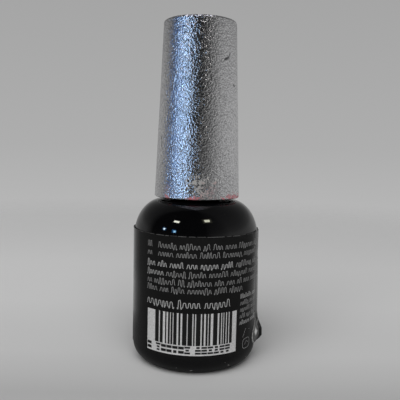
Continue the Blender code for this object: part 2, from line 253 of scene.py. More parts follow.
class Nodes:
    """Short calls for building a node tree."""

    def __init__(self, tree):
        self.tree = tree

    def add(self, kind, **settings):
        node = self.tree.nodes.new(kind)
        for key, value in settings.items():
            setattr(node, key, value)
        return node

    def feed(self, value, socket):
        """Links another socket to this one, or sets it to a number or a colour."""
        if isinstance(value, bpy.types.NodeSocket):
            self.tree.links.new(value, socket)
        else:
            socket.default_value = (*value, 1) if isinstance(value, tuple) else value

    def ramp(self, source, *stops):
        """A colour ramp through (position, grey or colour) stops."""
        node = self.add("ShaderNodeValToRGB")
        elements = node.color_ramp.elements
        while len(elements) < len(stops):
            elements.new(0.5)
        for element, (position, colour) in zip(elements, stops):
            element.position = position
            element.color = (*(colour if isinstance(colour, tuple) else (colour,) * 3), 1)
        self.feed(source, node.inputs["Fac"])
        return node.outputs["Color"]

    def fed(self, kind, output, values, **settings):
        """Adds a node, feeds its inputs and returns one of its outputs."""
        node = self.add(kind, **settings)
        for name, value in values.items():
            self.feed(value, node.inputs[name])
        return node.outputs[output]

    def mix(self, factor, first, second, blend="MIX"):
        """Mixes two colours, given as sockets or as colours."""
        values = {"Factor": factor, "A": first, "B": second}
        return self.fed("ShaderNodeMix", "Result", values, data_type="RGBA", blend_type=blend)

    def math(self, operation, first, second):
        return self.fed("ShaderNodeMath", "Value", {0: first, 1: second}, operation=operation)

    def spread(self, source, low, high, start=0.0, end=1.0, curve="LINEAR"):
        """Maps the values from low to high on to those from start to end."""
        ends = {"From Min": low, "From Max": high, "To Min": start, "To Max": end}
        values = {"Value": source, **ends}
        return self.fed("ShaderNodeMapRange", "Result", values, interpolation_type=curve)

    def axis(self, source, name):
        return self.fed("ShaderNodeSeparateXYZ", name, {"Vector": source})


class Surface(Nodes):
    """A material's node tree."""

    def __init__(self, name):
        self.material = bpy.data.materials.new(name)
        self.material.use_nodes = True
        super().__init__(self.material.node_tree)
        self.shader = self.tree.nodes["Principled BSDF"]
        self.place = self.add("ShaderNodeTexCoord").outputs["Object"]

    def set(self, **values):
        """Sets or links the shader's sockets, with an underscore for each space in a name."""
        for key, value in values.items():
            self.feed(value, self.shader.inputs[key.replace("_", " ")])

    def noise(self, size, detail=2.0, roughness=0.5):
        """Noise whose cells measure size metres."""
        values = {"Scale": 1 / size, "Detail": detail, "Roughness": roughness}
        return self.fed("ShaderNodeTexNoise", "Fac", {"Vector": self.place, **values})

    def attribute(self, name):
        return self.add("ShaderNodeAttribute", attribute_name=name).outputs["Fac"]

    def bump(self, source, height):
        return self.fed("ShaderNodeBump", "Normal", {"Distance": height, "Height": source})

    def clear(self, share):
        """Makes the surface transparent by a share from 0 to 1."""
        through = self.add("ShaderNodeBsdfTransparent").outputs["BSDF"]
        values = {0: share, 1: self.shader.outputs["BSDF"], 2: through}
        mixed = self.fed("ShaderNodeMixShader", "Shader", values)
        self.feed(mixed, self.tree.nodes["Material Output"].inputs["Surface"])


def black_lacquer():
    """Deep glossy black with faint smudges and a few specks of dust."""
    n = Surface("black_lacquer")
    dust = n.ramp(n.noise(0.35 * MM, 1, 0.4), (0.80, 0.0), (0.84, 1.0))
    n.set(
        Specular_IOR_Level=0.5,
        IOR=1.50,
        Roughness=n.ramp(n.noise(4.0 * MM, 4, 0.6), (0.35, 0.025), (0.70, 0.06)),
        Base_Color=n.mix(dust, (0.0016, 0.0016, 0.0020), (0.04, 0.04, 0.04)),
        Normal=n.bump(n.noise(2.2 * MM, 1), 0.004 * MM),
    )
    return n.material


def label_film():
    """Satin black printed film, slightly uneven where it is glued down, whitened at its creases,
    with a painted sheen and a painted glint on the peeled flap.
    """
    n = Surface("label_film")
    cloud = n.ramp(n.noise(3.0 * MM, 3, 0.6), (0.3, 0.0036), (0.7, 0.0052))
    n.set(
        Specular_IOR_Level=0.5,
        IOR=1.46,
        # Painted sheen and glint: the mask lightens the flap and the fold's back where they catch
        # light, as well as the whitened crease.
        Base_Color=n.mix(n.attribute("whitening_and_glint"), cloud, (0.78, 0.78, 0.77)),
        Roughness=n.ramp(n.noise(1.2 * MM, 3, 0.6), (0.3, 0.12), (0.7, 0.19)),
        Normal=n.bump(n.noise(1.6 * MM, 2), 0.008 * MM),
    )
    return n.material


def ink(name, grey, roughness):
    """Screen-printed ink with thin spots in it."""
    n = Surface(name)
    wear = n.noise(0.30 * MM, 3, 0.7)
    n.set(
        Base_Color=n.ramp(wear, (0.30, grey * 0.70), (0.62, grey)),
        Roughness=roughness,
        Normal=n.bump(wear, 0.003 * MM),
    )
    return n.material


def crinkled_silver():
    """Metallised skin: sparkling fine grain, worn and stained where the masks say."""
    n = Surface("crinkled_silver")
    grain = n.noise(0.40 * MM, 1, 0.6)
    worn, residue = n.attribute("worn"), n.attribute("residue")
    tone = n.ramp(grain, (0.28, (0.62, 0.62, 0.63)), (0.66, (0.90, 0.90, 0.91)))
    dull = n.mix(worn, tone, (0.50, 0.49, 0.47))
    scratched = n.mix(n.attribute("scratch"), dull, (0.04, 0.04, 0.045))
    n.set(
        Base_Color=n.mix(residue, scratched, (0.66, 0.16, 0.20)),
        Metallic=n.spread(n.math("MAXIMUM", worn, residue), 0.0, 1.0, 1.0, 0.15),
        Roughness=n.ramp(n.noise(0.5 * MM, 3, 0.6), (0.3, 0.09), (0.7, 0.15)),
        Normal=n.bump(grain, 0.165 * MM),
    )
    return n.material


def moulded(name, colour, roughness, uneven=0.12):
    """Plain moulded plastic with a faint orange-peel and slight tone changes."""
    n = Surface(name)
    darker = tuple(c * (1 - uneven) for c in colour)
    least, most = roughness * 0.85, min(1.0, roughness * 1.2)
    n.set(
        Base_Color=n.mix(n.ramp(n.noise(1.5 * MM, 3), (0.35, 0.0), (0.65, 1.0)), darker, colour),
        Roughness=n.ramp(n.noise(0.8 * MM, 3), (0.3, least), (0.7, most)),
        Normal=n.bump(n.noise(0.35 * MM, 2), 0.004 * MM),
    )
    return n.material


def polished_steel():
    n = Surface("polished_steel")
    n.set(
        Metallic=1.0,
        Base_Color=n.ramp(n.noise(1.0 * MM, 2), (0.3, 0.55), (0.7, 0.64)),
        Roughness=n.ramp(n.noise(0.4 * MM, 3), (0.3, 0.12), (0.7, 0.26)),
    )
    return n.material


def wet_gel():
    n = Surface("wet_gel")
    cloud = n.noise(2.0 * MM, 3)
    n.set(
        Roughness=0.08,
        Coat_Weight=0.6,
        Coat_Roughness=0.05,
        Base_Color=n.ramp(cloud, (0.3, (0.34, 0.010, 0.035)), (0.7, (0.46, 0.018, 0.055))),
    )
    return n.material


def bristles():
    """Nylon filaments, stained by the gel over their lower part."""
    n = Surface("bristles")
    height = n.axis(n.place, "Z")
    stain = n.spread(height, TUFT_ROOT - 3.5 * MM, TUFT_ROOT - 7.0 * MM)
    n.set(
        Base_Color=n.mix(stain, (0.50, 0.40, 0.34), (0.38, 0.014, 0.045)),
        Roughness=0.30,
        Coat_Weight=0.5,
        Coat_Roughness=0.1,
    )
    return n.material


# Stage ----------------------------------------------------------------------------------------

CAMERA_PLACE = Vector((0.40, -130.42, 52.69)) * MM
CAMERA_PITCH = 0.1014
CAMERA_YAW = 0.0033
CAMERA_ROLL = 0.0228
CAMERA_LENS = 47.14
CAMERA_NEAR = 5 * MM

# Brightness of the room that reflections see, by azimuth in degrees (0 is the camera's side,
# positive towards +X) and by level (0 is straight down, 0.5 level and 1 straight up), and the
# plain background that the camera sees, by level.
ROOM_AROUND = (
    (-180, 0.37), (-128, 0.34), (-106, 0.31), (-97, 0.20), (-87, 0.035), (-10, 0.030),
    (17, 0.040), (29, 0.17), (48, 0.26), (66, 0.44), (110, 0.42), (180, 0.37),
)
ROOM_UPWARD = ((0.0, 0.9), (0.5, 1.0), (0.57, 1.0), (0.63, 0.62), (0.72, 0.42), (1.0, 0.18))
BACKGROUND = ((0.37, 0.500), (0.447, 0.465), (0.50, 0.420), (0.635, 0.375))

FLOOR_RADII = (0.05, 0.2, 0.6, 1.2)
# Floor colour from front to back: painted shade darkens the front, painted light brightens the far
# part where the lamps reach it less.
FLOOR_FRONT, FLOOR_BACK = -0.03, 0.10
FLOOR_PAINTED_SHADING = ((0.05, 0.57), (0.12, 0.65), (0.22, 0.73), (0.35, 0.76), (0.55, 0.83), (1.0, 0.89))
FLOOR_FADE = (0.09, 0.42)

# Rings of the dark card, painted shade that only reflections see: radius, and the azimuth in
# degrees past which it starts to thin out.
CARD_RINGS = ((0.0125, 180), (0.030, 180), (0.045, 100), (0.075, 100), (0.11, 114), (0.30, 114))
CARD_THINNING = radians(40)
CARD_LEVEL = 0.3 * MM
STAGE_SEGMENTS = 96

# Lights: name, azimuth and elevation, width and height as seen from the bottle (all in degrees),
# radiance and colour. The first two groups are linked to one surface each, where only its
# reflections show them. The last group only lights the surfaces.
LAMP_DISTANCE = 0.9
GLASS_LIGHTS = (
    ("ceiling_left", -44.5, 41, 10, 5, 20, (1.0, 1.0, 0.86)),
    ("ceiling_right", 27, 48.5, 9, 7, 13, (1.0, 1.0, 0.80)),
    ("ceiling_glow", 27, 48.5, 16, 13, 0.35, (1.0, 1.0, 0.70)),
    ("window_far_top", -62, 18, 3.5, 3.5, 26, (0.75, 0.90, 1.0)),
    ("window_far_halo", -62, 18, 7, 6, 2.6, (0.10, 0.42, 1.0)),
    ("window_near_top", -40, 16.5, 4, 4, 17, (0.42, 0.76, 1.0)),
    ("window_near_halo", -41, 17, 8, 6.5, 3.2, (0.08, 0.40, 1.0)),
)
SKIN_LIGHTS = (
    ("pane_far", -71, 7, 20, 36, 0.44, (0.16, 0.40, 1.0)),
    ("pane_middle", -48, 7, 26, 36, 0.20, (0.42, 0.64, 1.0)),
    ("pane_near", -31, 7, 10, 36, 0.24, (0.44, 0.63, 1.0)),
    ("pane_bar_low", -44, -5, 35, 2.5, 5.2, (0.48, 0.69, 1.0)),
    ("pane_bar_middle", -44, 6, 35, 2.5, 5.2, (0.48, 0.69, 1.0)),
    ("pane_bar_high", -44, 17, 35, 2.5, 5.2, (0.48, 0.69, 1.0)),
    ("ceiling_left_faint", -44.5, 41, 10, 5, 7, (0.95, 0.95, 1.0)),
    ("ceiling_right_faint", 27, 48.5, 9, 7, 6, (1.0, 0.97, 0.95)),
    ("crown_glint", -15, 70, 50, 14, 2.5, (0.86, 0.86, 1.0)),
)
BROAD_LIGHTS = (
    ("soft_key", -24, 20, 26, 26, 0.6, (1.0, 0.99, 0.97)),
    ("soft_top", -12, 52, 70, 60, 2.75, (1.0, 1.0, 1.0)),
)


def camera():
    """Level with the middle of the bottle, looking slightly down."""
    flat = cos(CAMERA_PITCH)
    ahead = Vector((sin(CAMERA_YAW) * flat, cos(CAMERA_YAW) * flat, -sin(CAMERA_PITCH)))
    across = Vector((cos(CAMERA_YAW), -sin(CAMERA_YAW), 0))
    above = across.cross(ahead)
    right = across * cos(CAMERA_ROLL) + above * sin(CAMERA_ROLL)
    up = above * cos(CAMERA_ROLL) - across * sin(CAMERA_ROLL)
    data = bpy.data.cameras.new("camera")
    data.lens = CAMERA_LENS
    data.clip_start = CAMERA_NEAR
    item = placed("camera", data)
    turn = Matrix((right, up, -ahead)).transposed().to_4x4()
    item.matrix_world = Matrix.Translation(CAMERA_PLACE) @ turn
    bpy.context.scene.camera = item


def lamp(name, azimuth, elevation, width, height, radiance, colour):
    """A rectangular soft light that faces the middle of the object."""
    a, e = radians(azimuth), radians(elevation)
    towards = Vector((sin(a) * cos(e), -cos(a) * cos(e), sin(e)))
    target = Vector((0, 0, (LIP_TOP + CAP_BOTTOM) / 2))
    data = bpy.data.lights.new(name, "AREA")
    data.shape = "RECTANGLE"
    data.size = 2 * LAMP_DISTANCE * sin(radians(width) / 2)
    data.size_y = 2 * LAMP_DISTANCE * sin(radians(height) / 2)
    data.energy = radiance * pi * data.size * data.size_y
    data.color = colour
    item = placed(name, data)
    item.location = target + towards * LAMP_DISTANCE
    item.rotation_mode = "QUATERNION"
    item.rotation_quaternion = towards.to_track_quat("Z", "Y")
    item.visible_camera = False
    return item


def lights(skin, glass):
    """The lights that show in the cap's skin and in the glass, and the broad soft ones."""
    for surface, group in ((skin, SKIN_LIGHTS), (glass, GLASS_LIGHTS)):
        only = bpy.data.collections.new(surface.name + "_only")
        only.objects.link(surface)
        for values in group:
            item = lamp(*values)
            item.light_linking.receiver_collection = only
            item.visible_diffuse = False
    for values in BROAD_LIGHTS:
        lamp(*values).visible_glossy = False


def room():
    """Surroundings: a pale studio for the camera, and a dark-sided room for reflections."""
    world = bpy.data.worlds.new("room")
    bpy.context.scene.world = world
    world.use_nodes = True
    n = Nodes(world.node_tree)
    n.tree.nodes.clear()
    direction = n.add("ShaderNodeTexCoord").outputs["Generated"]
    front = n.math("MULTIPLY", n.axis(direction, "Y"), -1.0)
    azimuth = n.math("ARCTAN2", n.axis(direction, "X"), front)
    level = n.spread(n.axis(direction, "Z"), -1.0, 1.0)
    stops = [((degrees + 180) / 360, grey) for degrees, grey in ROOM_AROUND]
    around = n.ramp(n.spread(azimuth, -pi, pi), *stops)
    shaded = n.mix(1.0, around, n.ramp(level, *ROOM_UPWARD), "MULTIPLY")
    seen = n.add("ShaderNodeLightPath").outputs["Is Camera Ray"]
    colour = n.mix(seen, shaded, n.ramp(level, *BACKGROUND))
    background = n.fed("ShaderNodeBackground", "Background", {"Color": colour})
    n.feed(background, n.add("ShaderNodeOutputWorld").inputs["Surface"])


def floor():
    """A pale disc under the bottle that fades into the surroundings with distance, its colour
    painted darker towards the front as shade and lighter towards the back as light.
    """
    outline = [(radius, 0) for radius in FLOOR_RADII]
    mesh = tube_mesh("floor", ring_points(outline, STAGE_SEGMENTS), first_pole=(0, 0, 0))
    n = Surface("pale_floor")
    depth = n.spread(n.axis(n.place, "Y"), FLOOR_FRONT, FLOOR_BACK)
    # Painted shade and light: the floor darker towards the front and lighter towards the back.
    n.set(Roughness=0.75, Base_Color=n.ramp(depth, *FLOOR_PAINTED_SHADING))
    distance = n.fed("ShaderNodeVectorMath", "Value", {0: n.place}, operation="LENGTH")
    n.clear(n.spread(distance, *FLOOR_FADE, curve="SMOOTHSTEP"))
    mesh.materials.append(n.material)
    placed("floor", mesh)


def painted_shade_card():
    """A dark card lying round the bottle, which only its reflections see: painted shade standing in
    for the shaded floor round its foot and in front of it.
    """
    across = STAGE_SEGMENTS + 1
    angles = [-pi + 2 * pi * i / STAGE_SEGMENTS for i in range(across)]
    points, thinness, faces = [], [], []
    for radius, start in CARD_RINGS:
        points += [(radius * sin(a), -radius * cos(a), CARD_LEVEL) for a in angles]
        thinness += [clamp((abs(a) - radians(start)) / CARD_THINNING) for a in angles]
    for row in range(len(CARD_RINGS) - 1):
        for i in range(row * across, row * across + STAGE_SEGMENTS):
            faces.append((i, i + across, i + across + 1, i + 1))
    mesh = new_mesh("painted_shade_card", points, faces)
    store(mesh, "thin", thinness)
    n = Surface("painted_shade_card")
    # Painted shade: the dark grey that the glass and label reflect where the floor lies in shade.
    n.set(Base_Color=n.ramp(n.noise(0.03, 2), (0.3, 0.20), (0.7, 0.22)), Roughness=0.9)
    n.clear(n.attribute("thin"))
    mesh.materials.append(n.material)
    item = placed("painted_shade_card", mesh)
    item.visible_camera = item.visible_diffuse = item.visible_shadow = False


# Glass ----------------------------------------------------------------------------------------


def thread_height(angle, level, bottom):
    """How far a thread's rounded ridge stands beyond its centre line at a place, or None."""
    highest = None
    part = (angle / (2 * pi)) % 1.0
    for lap in range(3):
        turn = part + lap
        if turn > THREAD_TURNS:
            break
        size = THREAD_ROUND * min(1.0, 0.4 + min(turn, THREAD_TURNS - turn) / THREAD_FADE)
        away = level - bottom - THREAD_PITCH * turn
        if abs(away) < size:
            height = sqrt(size * size - away * away)
            highest = height if highest is None else max(highest, height)
    return highest


def raise_thread(rings, centre_radius, bottom, inside):
    """Pushes the points of a straight neck or bore out to the thread's ridge."""
    side = -1 if inside else 1
    for ring in rings:
        for point in ring:
            x, y, z = point
            radius = sqrt(x * x + y * y)
            height = thread_height(atan2(y, x), z, bottom)
            if height is None:
                continue
            crest = centre_radius + side * height
            if (crest - radius) * side > 0:
                point[0] *= crest / radius
                point[1] *= crest / radius


def bottle_glass():
    """The lacquered glass, hollow, with its thread."""
    ring_outer = BODY_RADIUS - HEEL_RADIUS
    ring_inner = ring_outer - STANDING_RING_WIDTH
    floor_corner = (CAVITY_RADIUS - CAVITY_CORNER, CAVITY_FLOOR + CAVITY_CORNER)
    cavity = [(0, CAVITY_FLOOR), (5 * MM, CAVITY_FLOOR)]
    cavity += arc(floor_corner, CAVITY_CORNER, -pi / 2, 0, 12)
    inner_edge = BORE_RADIUS + BORE_FILLET
    dome_top = (inner_edge, CAVITY_SHOULDER_TOP)
    dome = shoulder_curve(dome_top, (CAVITY_RADIUS, CAVITY_WALL_TOP), 2, 20)
    cavity += reversed(dome)
    cavity += arc((inner_edge, CAVITY_SHOULDER_TOP + BORE_FILLET), BORE_FILLET, -pi / 2, -pi, 6)[1:]
    lip_middle = LIP_TOP - LIP_ROUND
    lip = arc((BORE_RADIUS + LIP_ROUND, lip_middle), LIP_ROUND, pi, pi / 2, 6)
    lip += arc((NECK_RADIUS - LIP_ROUND, lip_middle), LIP_ROUND, pi / 2, 0, 6)
    neck_bottom = (NECK_RADIUS, SHOULDER_TOP + NECK_FILLET)
    neck = straight((NECK_RADIUS, lip_middle), neck_bottom, THREAD_RINGS)
    fillet = arc((NECK_RADIUS + NECK_FILLET, neck_bottom[1]), NECK_FILLET, pi, 3 * pi / 2, 8)
    shoulder = shoulder_curve(
        (SHOULDER_TOP_RADIUS, SHOULDER_TOP), (BODY_RADIUS, WALL_TOP), SHOULDER_EXPONENT, 36
    )
    wall = straight((BODY_RADIUS, WALL_TOP), (BODY_RADIUS, HEEL_RADIUS), 6)
    heel = arc((ring_outer, HEEL_RADIUS), HEEL_RADIUS, 0, -pi / 2, 20)
    base = [(ring_inner + STANDING_RING_BEVEL, 0), (ring_inner, 0.1 * STANDING_RING_BEVEL)]
    base += [(ring_inner * r, PUSH_UP * (1 - r * r)) for r in (0.9, 0.75, 0.6, 0.45, 0.3, 0.15)]
    base.append((0, PUSH_UP))
    profile = cavity + lip + neck + fillet + shoulder + wall + heel + base
    rings = ring_points(profile[1:-1], GLASS_SEGMENTS)
    first = len(cavity) - 1 + len(lip)
    threaded = rings[first:first + len(neck)]
    raise_thread(threaded, NECK_THREAD_CREST - THREAD_ROUND, THREAD_BOTTOM, False)
    mesh = tube_mesh("lacquered_glass", rings, (0, 0, CAVITY_FLOOR), (0, 0, PUSH_UP))
    lacquer = black_lacquer()
    return piece("lacquered_glass", mesh, lacquer, "bottle", ["glass_bottle"])


# Label ----------------------------------------------------------------------------------------

# Angles on the label are in degrees from the front (-Y), positive towards +X.
DEGREE = radians(1) * LABEL_RADIUS
LABEL_START = -270.0
LABEL_END = 82.5
EDGE_RIPPLE = 0.04 * MM
RIPPLED = 1.2 * MM

# The peeled corner and the loose edge above it: how far the free end stands off, and the crease
# that it bends about. The crease only marks the film where it is lifted by more than LOOSE.
PEEL_LEVELS = np.array((4.3, 5.0, 5.8, 7.7, 9.0, 10.3, 12.0, 18.0, 22.0, 27.0)) * MM
PEEL_LIFTS = np.array((0.42, 1.20, 1.78, 1.70, 1.16, 0.66, 0.42, 0.34, 0.26, 0.12)) * MM
CREASE_LEVELS = np.array((4.3, 5.4, 6.6, 7.7, 9.0, 10.3, 12.0)) * MM
CREASE_ANGLES = np.array((74.0, 69.0, 67.0, 68.0, 72.5, 77.0, 71.0))
LOOSE = 0.45 * MM
CREASED = 0.85 * MM
FOLD = 0.10 * MM
PEEL_START = 50.0
PEEL_TOP = 12.0 * MM

# Whitened film and painted glints, in degrees: how far past the crease the two whitened lines lie
# and how wide they are, partly a painted glint along the crease, how strong the second one is,
# the painted sheen over the flap and how far short of the end it stops, and the middle and reach
# of the fold's white back, painted bright as a glint.
WHITE_LINES = ((0.5, 1.7), (6.0, 1.3))
SECOND_LINE = 0.3025
PAINTED_SHEEN = 0.16
SHEEN_STOP = 3.5
BACK_GLINT = (75.0, 7.3 * MM)
BACK_GLINT_REACH = (3.4, 1.5 * MM)


def peel(level):
    """At a level: the free end's lift, the crease's angle and its sharpness from 0 to 1."""
    lift = float(np.interp(level, PEEL_LEVELS, PEEL_LIFTS))
    crease = float(np.interp(level, CREASE_LEVELS, CREASE_ANGLES))
    return lift, crease, clamp((lift - LOOSE) / (CREASED - LOOSE))


def label_lift(degrees, level):
    """How far the film stands off: a loose end with a peeled corner, and a rippled top edge."""
    lift, crease, sharpness = peel(level)
    past = max(0.0, (degrees - crease) / (LABEL_END - crease + 0.01))
    flap = lift * past ** (1.2 + 0.8 * sharpness)
    beside = (degrees - crease + 2.5) / 2.0
    fold = FOLD * sharpness * np.exp(-beside * beside)
    near_top = max(0.0, 1 - (LABEL_TOP - level) / RIPPLED)
    wave = noise.noise(Vector((degrees / 4.0, 0.3, 7.1)))
    return flap + fold + EDGE_RIPPLE * near_top * near_top * wave


def whitening_and_glint(degrees, level):
    """How far the film is painted pale: whitened along the crease, with a painted sheen over the
    flap and a painted glint where its back shows at the fold.
    """
    _, crease, sharpness = peel(level)
    if sharpness <= 0 or degrees < PEEL_START:
        return 0.0
    line, second = (
        np.exp(-((degrees - crease - past) / wide) ** 2) for past, wide in WHITE_LINES
    )
    # Painted sheen over the flap, standing for the bright room that it reflects.
    sheen = PAINTED_SHEEN if crease < degrees < LABEL_END - SHEEN_STOP else 0.0
    # Painted glint where the fold's white back shows.
    back = abs(degrees - BACK_GLINT[0]) / BACK_GLINT_REACH[0]
    back += abs(level - BACK_GLINT[1]) / BACK_GLINT_REACH[1]
    grain = 0.75 + 0.5 * noise.noise(Vector((degrees / 1.5, level / (0.5 * MM), 2.0)))
    whitening_and_sheen = sharpness * grain * max(line, SECOND_LINE * second, sheen)
    return max(whitening_and_sheen, 1.6 * max(0.0, 1 - back))


def on_label(degrees, level, above=0.0):
    """Point of the label's face, lifted with its loose corner."""
    radius = LABEL_RADIUS + above + label_lift(degrees, level)
    a = radians(degrees)
    return (radius * sin(a), -radius * cos(a), level)


def film():
    """The label: a thin closed band with a slightly rounded edge, open at its seam."""
    soft = 0.25 * LABEL_THICKNESS
    angles = even(LABEL_START, PEEL_START, 200)[:-1] + even(PEEL_START, LABEL_END, 80)
    levels = even(LABEL_BOTTOM, PEEL_TOP, 44)[:-1]
    levels += even(PEEL_TOP, LABEL_TOP - RIPPLED, 20)[:-1]
    levels += even(LABEL_TOP - RIPPLED, LABEL_TOP, 6)
    levels[0] += soft
    levels[-1] -= soft
    section = [(level, 0.0) for level in levels]
    section += [(LABEL_TOP, -soft), (LABEL_TOP, -LABEL_THICKNESS + soft)]
    section += [(level, -LABEL_THICKNESS) for level in reversed(levels)]
    section += [(LABEL_BOTTOM, -LABEL_THICKNESS + soft), (LABEL_BOTTOM, -soft)]
    rings = np.array([[on_label(a, level, above) for level, above in section] for a in angles])
    count = len(levels)
    across = [(i, i + 1, 2 * count - i, 2 * count + 1 - i) for i in range(count - 1)]
    across.append((count - 1, count, count + 1, count + 2))
    across.append((0, 2 * count + 1, 2 * count + 2, 2 * count + 3))
    mesh = tube_mesh("label_film", rings, end_faces=across)
    store(mesh, "whitening_and_glint", [whitening_and_glint(a, level) for a in angles for level, _ in section])
    piece("label_film", mesh, label_film(), "bottle", ["wrap_label"])


# Shares of a small letter's height: the width of the mark that stands for it, a tall letter's
# height and a tail's depth. Then how often a mark is not tall, and how often it has no tail.
LETTER_WIDTH = 0.84
TALL, TAIL = 1.45, -0.32
NOT_TALL, NO_TAIL = 0.70, 0.86
WORD_LETTERS = (2, 7)


class Print:
    """Collects thin raised marks on the label's face and makes them one mesh."""

    def __init__(self):
        self.points = []
        self.faces = []

    def strip(self, left, right, height=INK):
        """A slab between two rows of (degrees, level) places that run side by side."""
        first = len(self.points)
        count = len(left)
        for above in (height, -INK / 2):
            for row in (left, right):
                self.points += [on_label(a, level, above) for a, level in row]
        top_left, top_right, low_left, low_right = (first + count * i for i in range(4))
        corners = (top_left, low_left, low_right, top_right)
        for i in range(count - 1):
            for a, b in zip(corners, corners[1:] + corners[:1]):
                self.faces.append((b + i, a + i, a + i + 1, b + i + 1))
        self.faces.append(corners)
        self.faces.append(tuple(corner + count - 1 for corner in reversed(corners)))

    def block(self, start, end, bottom, top, height=INK):
        """A rectangle of ink that follows the label round."""
        angles = even(start, end, max(1, round((end - start) / 1.5)))
        self.strip([(a, bottom) for a in angles], [(a, top) for a in angles], height)

    def line(self, places, width, height=INK):
        """A line of ink of even width through (degrees, level) places."""
        flat = [Vector((a * DEGREE, level)) for a, level in places]
        left, right = [], []
        for i, here in enumerate(flat):
            along = (flat[min(i + 1, len(flat) - 1)] - flat[max(i - 1, 0)]).normalized()
            across = Vector((-along.y, along.x)) * width / 2
            left.append(((here.x + across.x) / DEGREE, here.y + across.y))
            right.append(((here.x - across.x) / DEGREE, here.y - across.y))
        self.strip(left, right, height)

    def scribble(self, start, end, level, size, width, dice):
        """One word-like mark: a rounded up-and-down line with no letters in it."""
        waves = max(1, round((end - start) * DEGREE / (size * LETTER_WIDTH)))
        places = [(start, level + width / 2)]
        here = start
        shares = [dice.uniform(0.75, 1.3) for _ in range(waves)]
        for share in shares:
            pitch = (end - start) * share / sum(shares)
            high = size * (1.0 if dice.random() < NOT_TALL else TALL)
            low = size * (0.0 if dice.random() < NO_TAIL else TAIL)
            for turn in even(0, 1, 16)[1:]:
                swing = 0.5 + 0.5 * np.tanh(-3.2 * cos(2 * pi * turn))
                base = low * (1 - swing) if turn < 1 else 0.0
                rise = base + (high - width) * swing + width / 2
                places.append((here + pitch * turn, level + rise))
            here += pitch
        self.line(places, width)

    def row(self, start, end, level, size, width, dice, words=WORD_LETTERS):
        """A row of word-like marks from start to end, in degrees."""
        letter = size * LETTER_WIDTH / DEGREE
        here = start
        while here < end - letter:
            long = min(end, here + letter * dice.randint(*words))
            self.scribble(here, long, level, size, width, dice)
            here = long + letter * 0.75

    def dashes(self, angle, level, wide, high, dice, height):
        """A stack of short dashes, which stands where the panel has its figures."""
        half = wide / 2 / DEGREE
        count = dice.choice((2, 3, 3))
        for i in range(count):
            middle = level - high / 2 + high * (i + 0.5) / count
            short = half * dice.choice((0.6, 1.0, 1.0))
            thick = 0.33 * high / count
            self.block(angle - short, angle + short, middle - thick, middle + thick, height)

    def outline(self, angle, level, wide, high, width):
        """A rounded box outline."""
        places = []
        for turn in even(0, 2 * pi, 24):
            x = abs(cos(turn)) ** 0.6 * (1 if cos(turn) >= 0 else -1) * wide / 2
            y = abs(sin(turn)) ** 0.6 * (1 if sin(turn) >= 0 else -1) * high / 2
            places.append((angle + x / DEGREE, level + y))
        self.line(places, width)

    def make(self, name, *ink_values):
        mesh = new_mesh(name, self.points, self.faces)
        piece(name, mesh, ink(*ink_values), "bottle")


PANEL_LEFT, PANEL_RIGHT = -44.0, 39.5
PANEL_BOTTOM, PANEL_TOP = 5.3 * MM, 15.1 * MM
BARS_LEFT, BARS_RIGHT = -35.0, 35.5
BARS_FOOT = PANEL_BOTTOM + 2.35 * MM
BAR_MODULE = (BARS_RIGHT - BARS_LEFT) / 72
FIGURE_LEVEL = PANEL_BOTTOM + 1.25 * MM
FIGURE_SIZE = (1.30 * MM, 2.0 * MM)
FIGURE_PITCH = 5.3
FIGURES = ((PANEL_LEFT + 2.8, 1), (-31.5, 6), (4.0, 6))
TEXT_LEFT, TEXT_RIGHT = -45.0, 80.0


def small_print():
    """Rows of word-like marks where the instructions stand, and a mark below them."""
    dice = Random(11)
    grey = Print()
    bright = Print()
    thin, bold = 0.14 * MM, 0.19 * MM
    words = WORD_LETTERS
    for ink_used, start, end, level, size, width, lengths in (
        (grey, TEXT_LEFT, -39.5, 29.75, 0.95, thin, (3, 3)),
        (grey, -33.0, TEXT_RIGHT, 29.75, 0.95, thin, words),
        (grey, TEXT_LEFT, -39.5, 27.85, 0.95, thin, (3, 3)),
        (grey, -33.0, TEXT_RIGHT, 27.85, 0.95, thin, words),
        (bright, TEXT_LEFT, 34.0, 25.40, 1.00, 0.17 * MM, words),
        (grey, 37.0, TEXT_RIGHT, 25.40, 0.98, bold, words),
        (bright, TEXT_LEFT, -27.0, 23.40, 0.95, thin, words),
        (grey, -25.0, TEXT_RIGHT, 23.40, 0.95, thin, words),
        (grey, TEXT_LEFT, TEXT_RIGHT, 21.45, 0.95, thin, words),
        (grey, TEXT_LEFT, 46.0, 19.70, 0.95, thin, words),
        (bright, TEXT_LEFT, 35.5, 16.35, 1.28, 0.18 * MM, (3, 7)),
    ):
        ink_used.row(start, end, level * MM, size * MM, width, dice, lengths)
    for i, ink_used in enumerate((bright, grey, grey, grey, bright)):
        end = 74.0 + dice.uniform(-4, 3)
        ink_used.row(43.5, end, (17.60 - 1.58 * i) * MM, 0.80 * MM, thin, dice)
    grey.outline(54.0, 6.3 * MM, 3.0 * MM, 2.4 * MM, 0.15 * MM)
    grey.line([(48.5, 8.0 * MM), (52.5, 9.9 * MM), (59.0, 9.4 * MM)], 0.15 * MM)
    grey.line([(51.5, 6.0 * MM), (54.0, 6.9 * MM), (57.0, 6.3 * MM)], 0.15 * MM)
    grey.make("print_grey", "grey_ink", 0.28, 0.5)
    bright.make("print_bright", "bright_ink", 0.46, 0.5)


